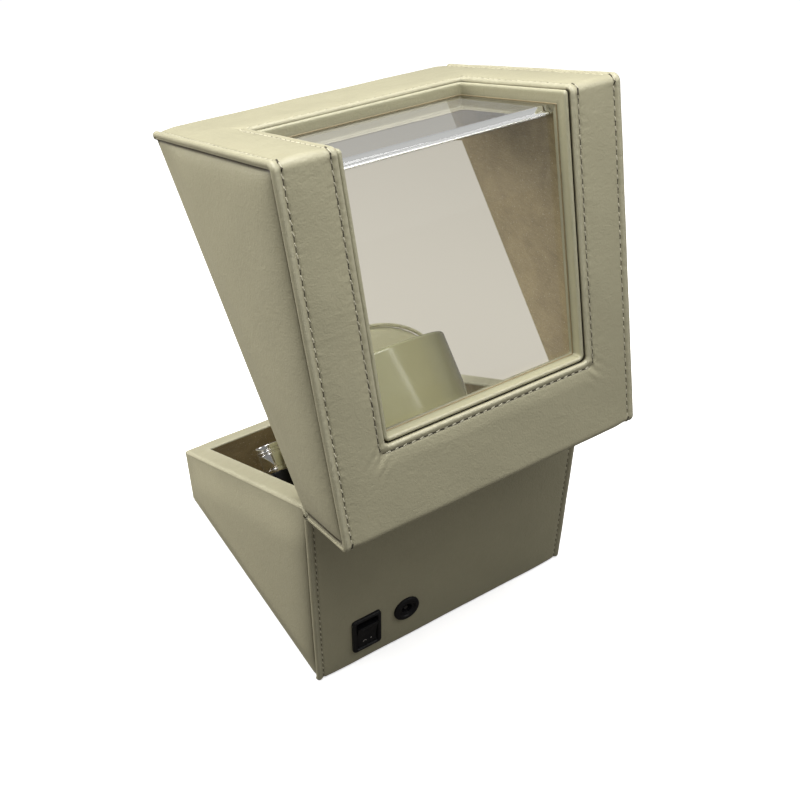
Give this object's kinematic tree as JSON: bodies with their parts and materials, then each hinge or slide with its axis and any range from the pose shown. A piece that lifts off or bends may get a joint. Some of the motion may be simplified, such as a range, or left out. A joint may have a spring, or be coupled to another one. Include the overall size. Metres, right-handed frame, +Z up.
{
  "type": "watch winder box",
  "caption": "Leather-covered watch winder box, cut by a slanted plane into base and windowed hinged lid, with a tilted turning drum, watch pillow, selector knob, rocker switch and power inlet.",
  "frame": {"origin": "centre of the underside, on the surface it stands on", "axes": "+Z up, -Y to the front, +X to the right seen from the front; stored with the lid open"},
  "size_m": [0.14, 0.1731, 0.2494],
  "materials": {
    "leather": "smooth, slightly glossy",
    "suede": "short nap",
    "fibreboard": "raw",
    "felt": "felt",
    "frame_leather": "smooth",
    "clear_acrylic": "clear, polished",
    "cream_gloss": "gloss",
    "pillow_leather": "soft, smooth",
    "chrome": "polished",
    "steel": "plated",
    "black_plastic": "satin",
    "nylon": "moulded",
    "pinion_brass": "turned",
    "circuit_board": "solder mask",
    "electronic_parts": "moulded",
    "wire": "sleeved"
  },
  "bodies": {
    "base": {"base_side_leathers": "leather", "base_front_leather": "leather", "base_rear_leather": "leather", "base_rim_leather": "leather", "base_side_linings": "suede", "base_front_lining": "suede", "well_lining": "suede", "deck_cover": "suede", "rear_ledge": "suede", "floor_board": "fibreboard", "base_left_board": "fibreboard", "base_right_board": "fibreboard", "base_front_board": "fibreboard", "base_rear_board": "fibreboard", "deck_board": "fibreboard", "underside_pad": "felt", "hinge_pins": "steel", "base_hinge_screws": "steel", "base_hinge_leaves": "steel", "motor_plate": "steel", "plate_posts": "steel", "gear_motor": "steel", "inlet_pin": "steel", "switch_terminals": "steel", "inlet_nut": "steel", "selector_washer": "black_plastic", "selector_switch": "black_plastic", "switch_housing": "black_plastic", "power_inlet": "black_plastic", "drum_bush": "nylon", "board_posts": "nylon", "control_board": "circuit_board", "board_components": "electronic_parts", "wiring": "wire"},
    "lid": {"lid_side_leathers": "leather", "lid_wrap_leather": "leather", "lid_rim_leather": "leather", "lid_side_linings": "suede", "lid_front_lining": "suede", "lid_rear_lining": "suede", "lid_top_lining": "suede", "lid_left_board": "fibreboard", "lid_right_board": "fibreboard", "lid_front_board": "fibreboard", "lid_top_board": "fibreboard", "lid_rear_board": "fibreboard", "window_frame": "frame_leather", "window_pane": "clear_acrylic", "lid_hinge_screws": "steel", "lid_hinge_leaves": "steel"},
    "drum": {"drum_cup": "cream_gloss", "drum_shaft": "steel", "drum_gear": "nylon"},
    "pillow": {"watch_pillow": "pillow_leather", "pillow_caps": "pillow_leather"},
    "pinion": {"motor_pinion": "pinion_brass"},
    "knob": {"selector_knob": "chrome", "selector_shaft": "steel", "knob_set_screw": "steel"},
    "rocker": {"switch_rocker": "black_plastic"}
  },
  "joints": [
    {"name": "lid_hinge", "type": "hinge", "parent": "base", "child": "lid", "pos_m": [0, 0.0665, 0.10736], "axis": [1, 0, 0], "range_deg": [0, 75]},
    {"name": "drum_spin", "type": "hinge", "parent": "base", "child": "drum", "pos_m": [0, 0.0185, 0.0687], "axis": [0, -0.7071, 0.7071], "continuous": true},
    {"name": "pillow_slide", "type": "slide", "parent": "drum", "child": "pillow", "axis": [0, -0.7071, 0.7071], "range_m": [0, 0.008]},
    {"name": "pinion_spin", "type": "hinge", "parent": "base", "child": "pinion", "pos_m": [-0.03, 0.0185, 0.0687], "axis": [0, -0.7071, 0.7071], "continuous": true},
    {"name": "knob_turn", "type": "hinge", "parent": "base", "child": "knob", "pos_m": [0.044, -0.00554, 0.04466], "axis": [0, -0.7071, 0.7071], "range_deg": [0, 90]},
    {"name": "rocker_tilt", "type": "hinge", "parent": "base", "child": "rocker", "pos_m": [0.045, 0.068, 0.0195], "axis": [1, 0, 0], "range_deg": [0, 16]}
  ],
  "couplings": [
    {"joint": "pinion_spin", "follows": "drum_spin", "ratio": -4}
  ]
}
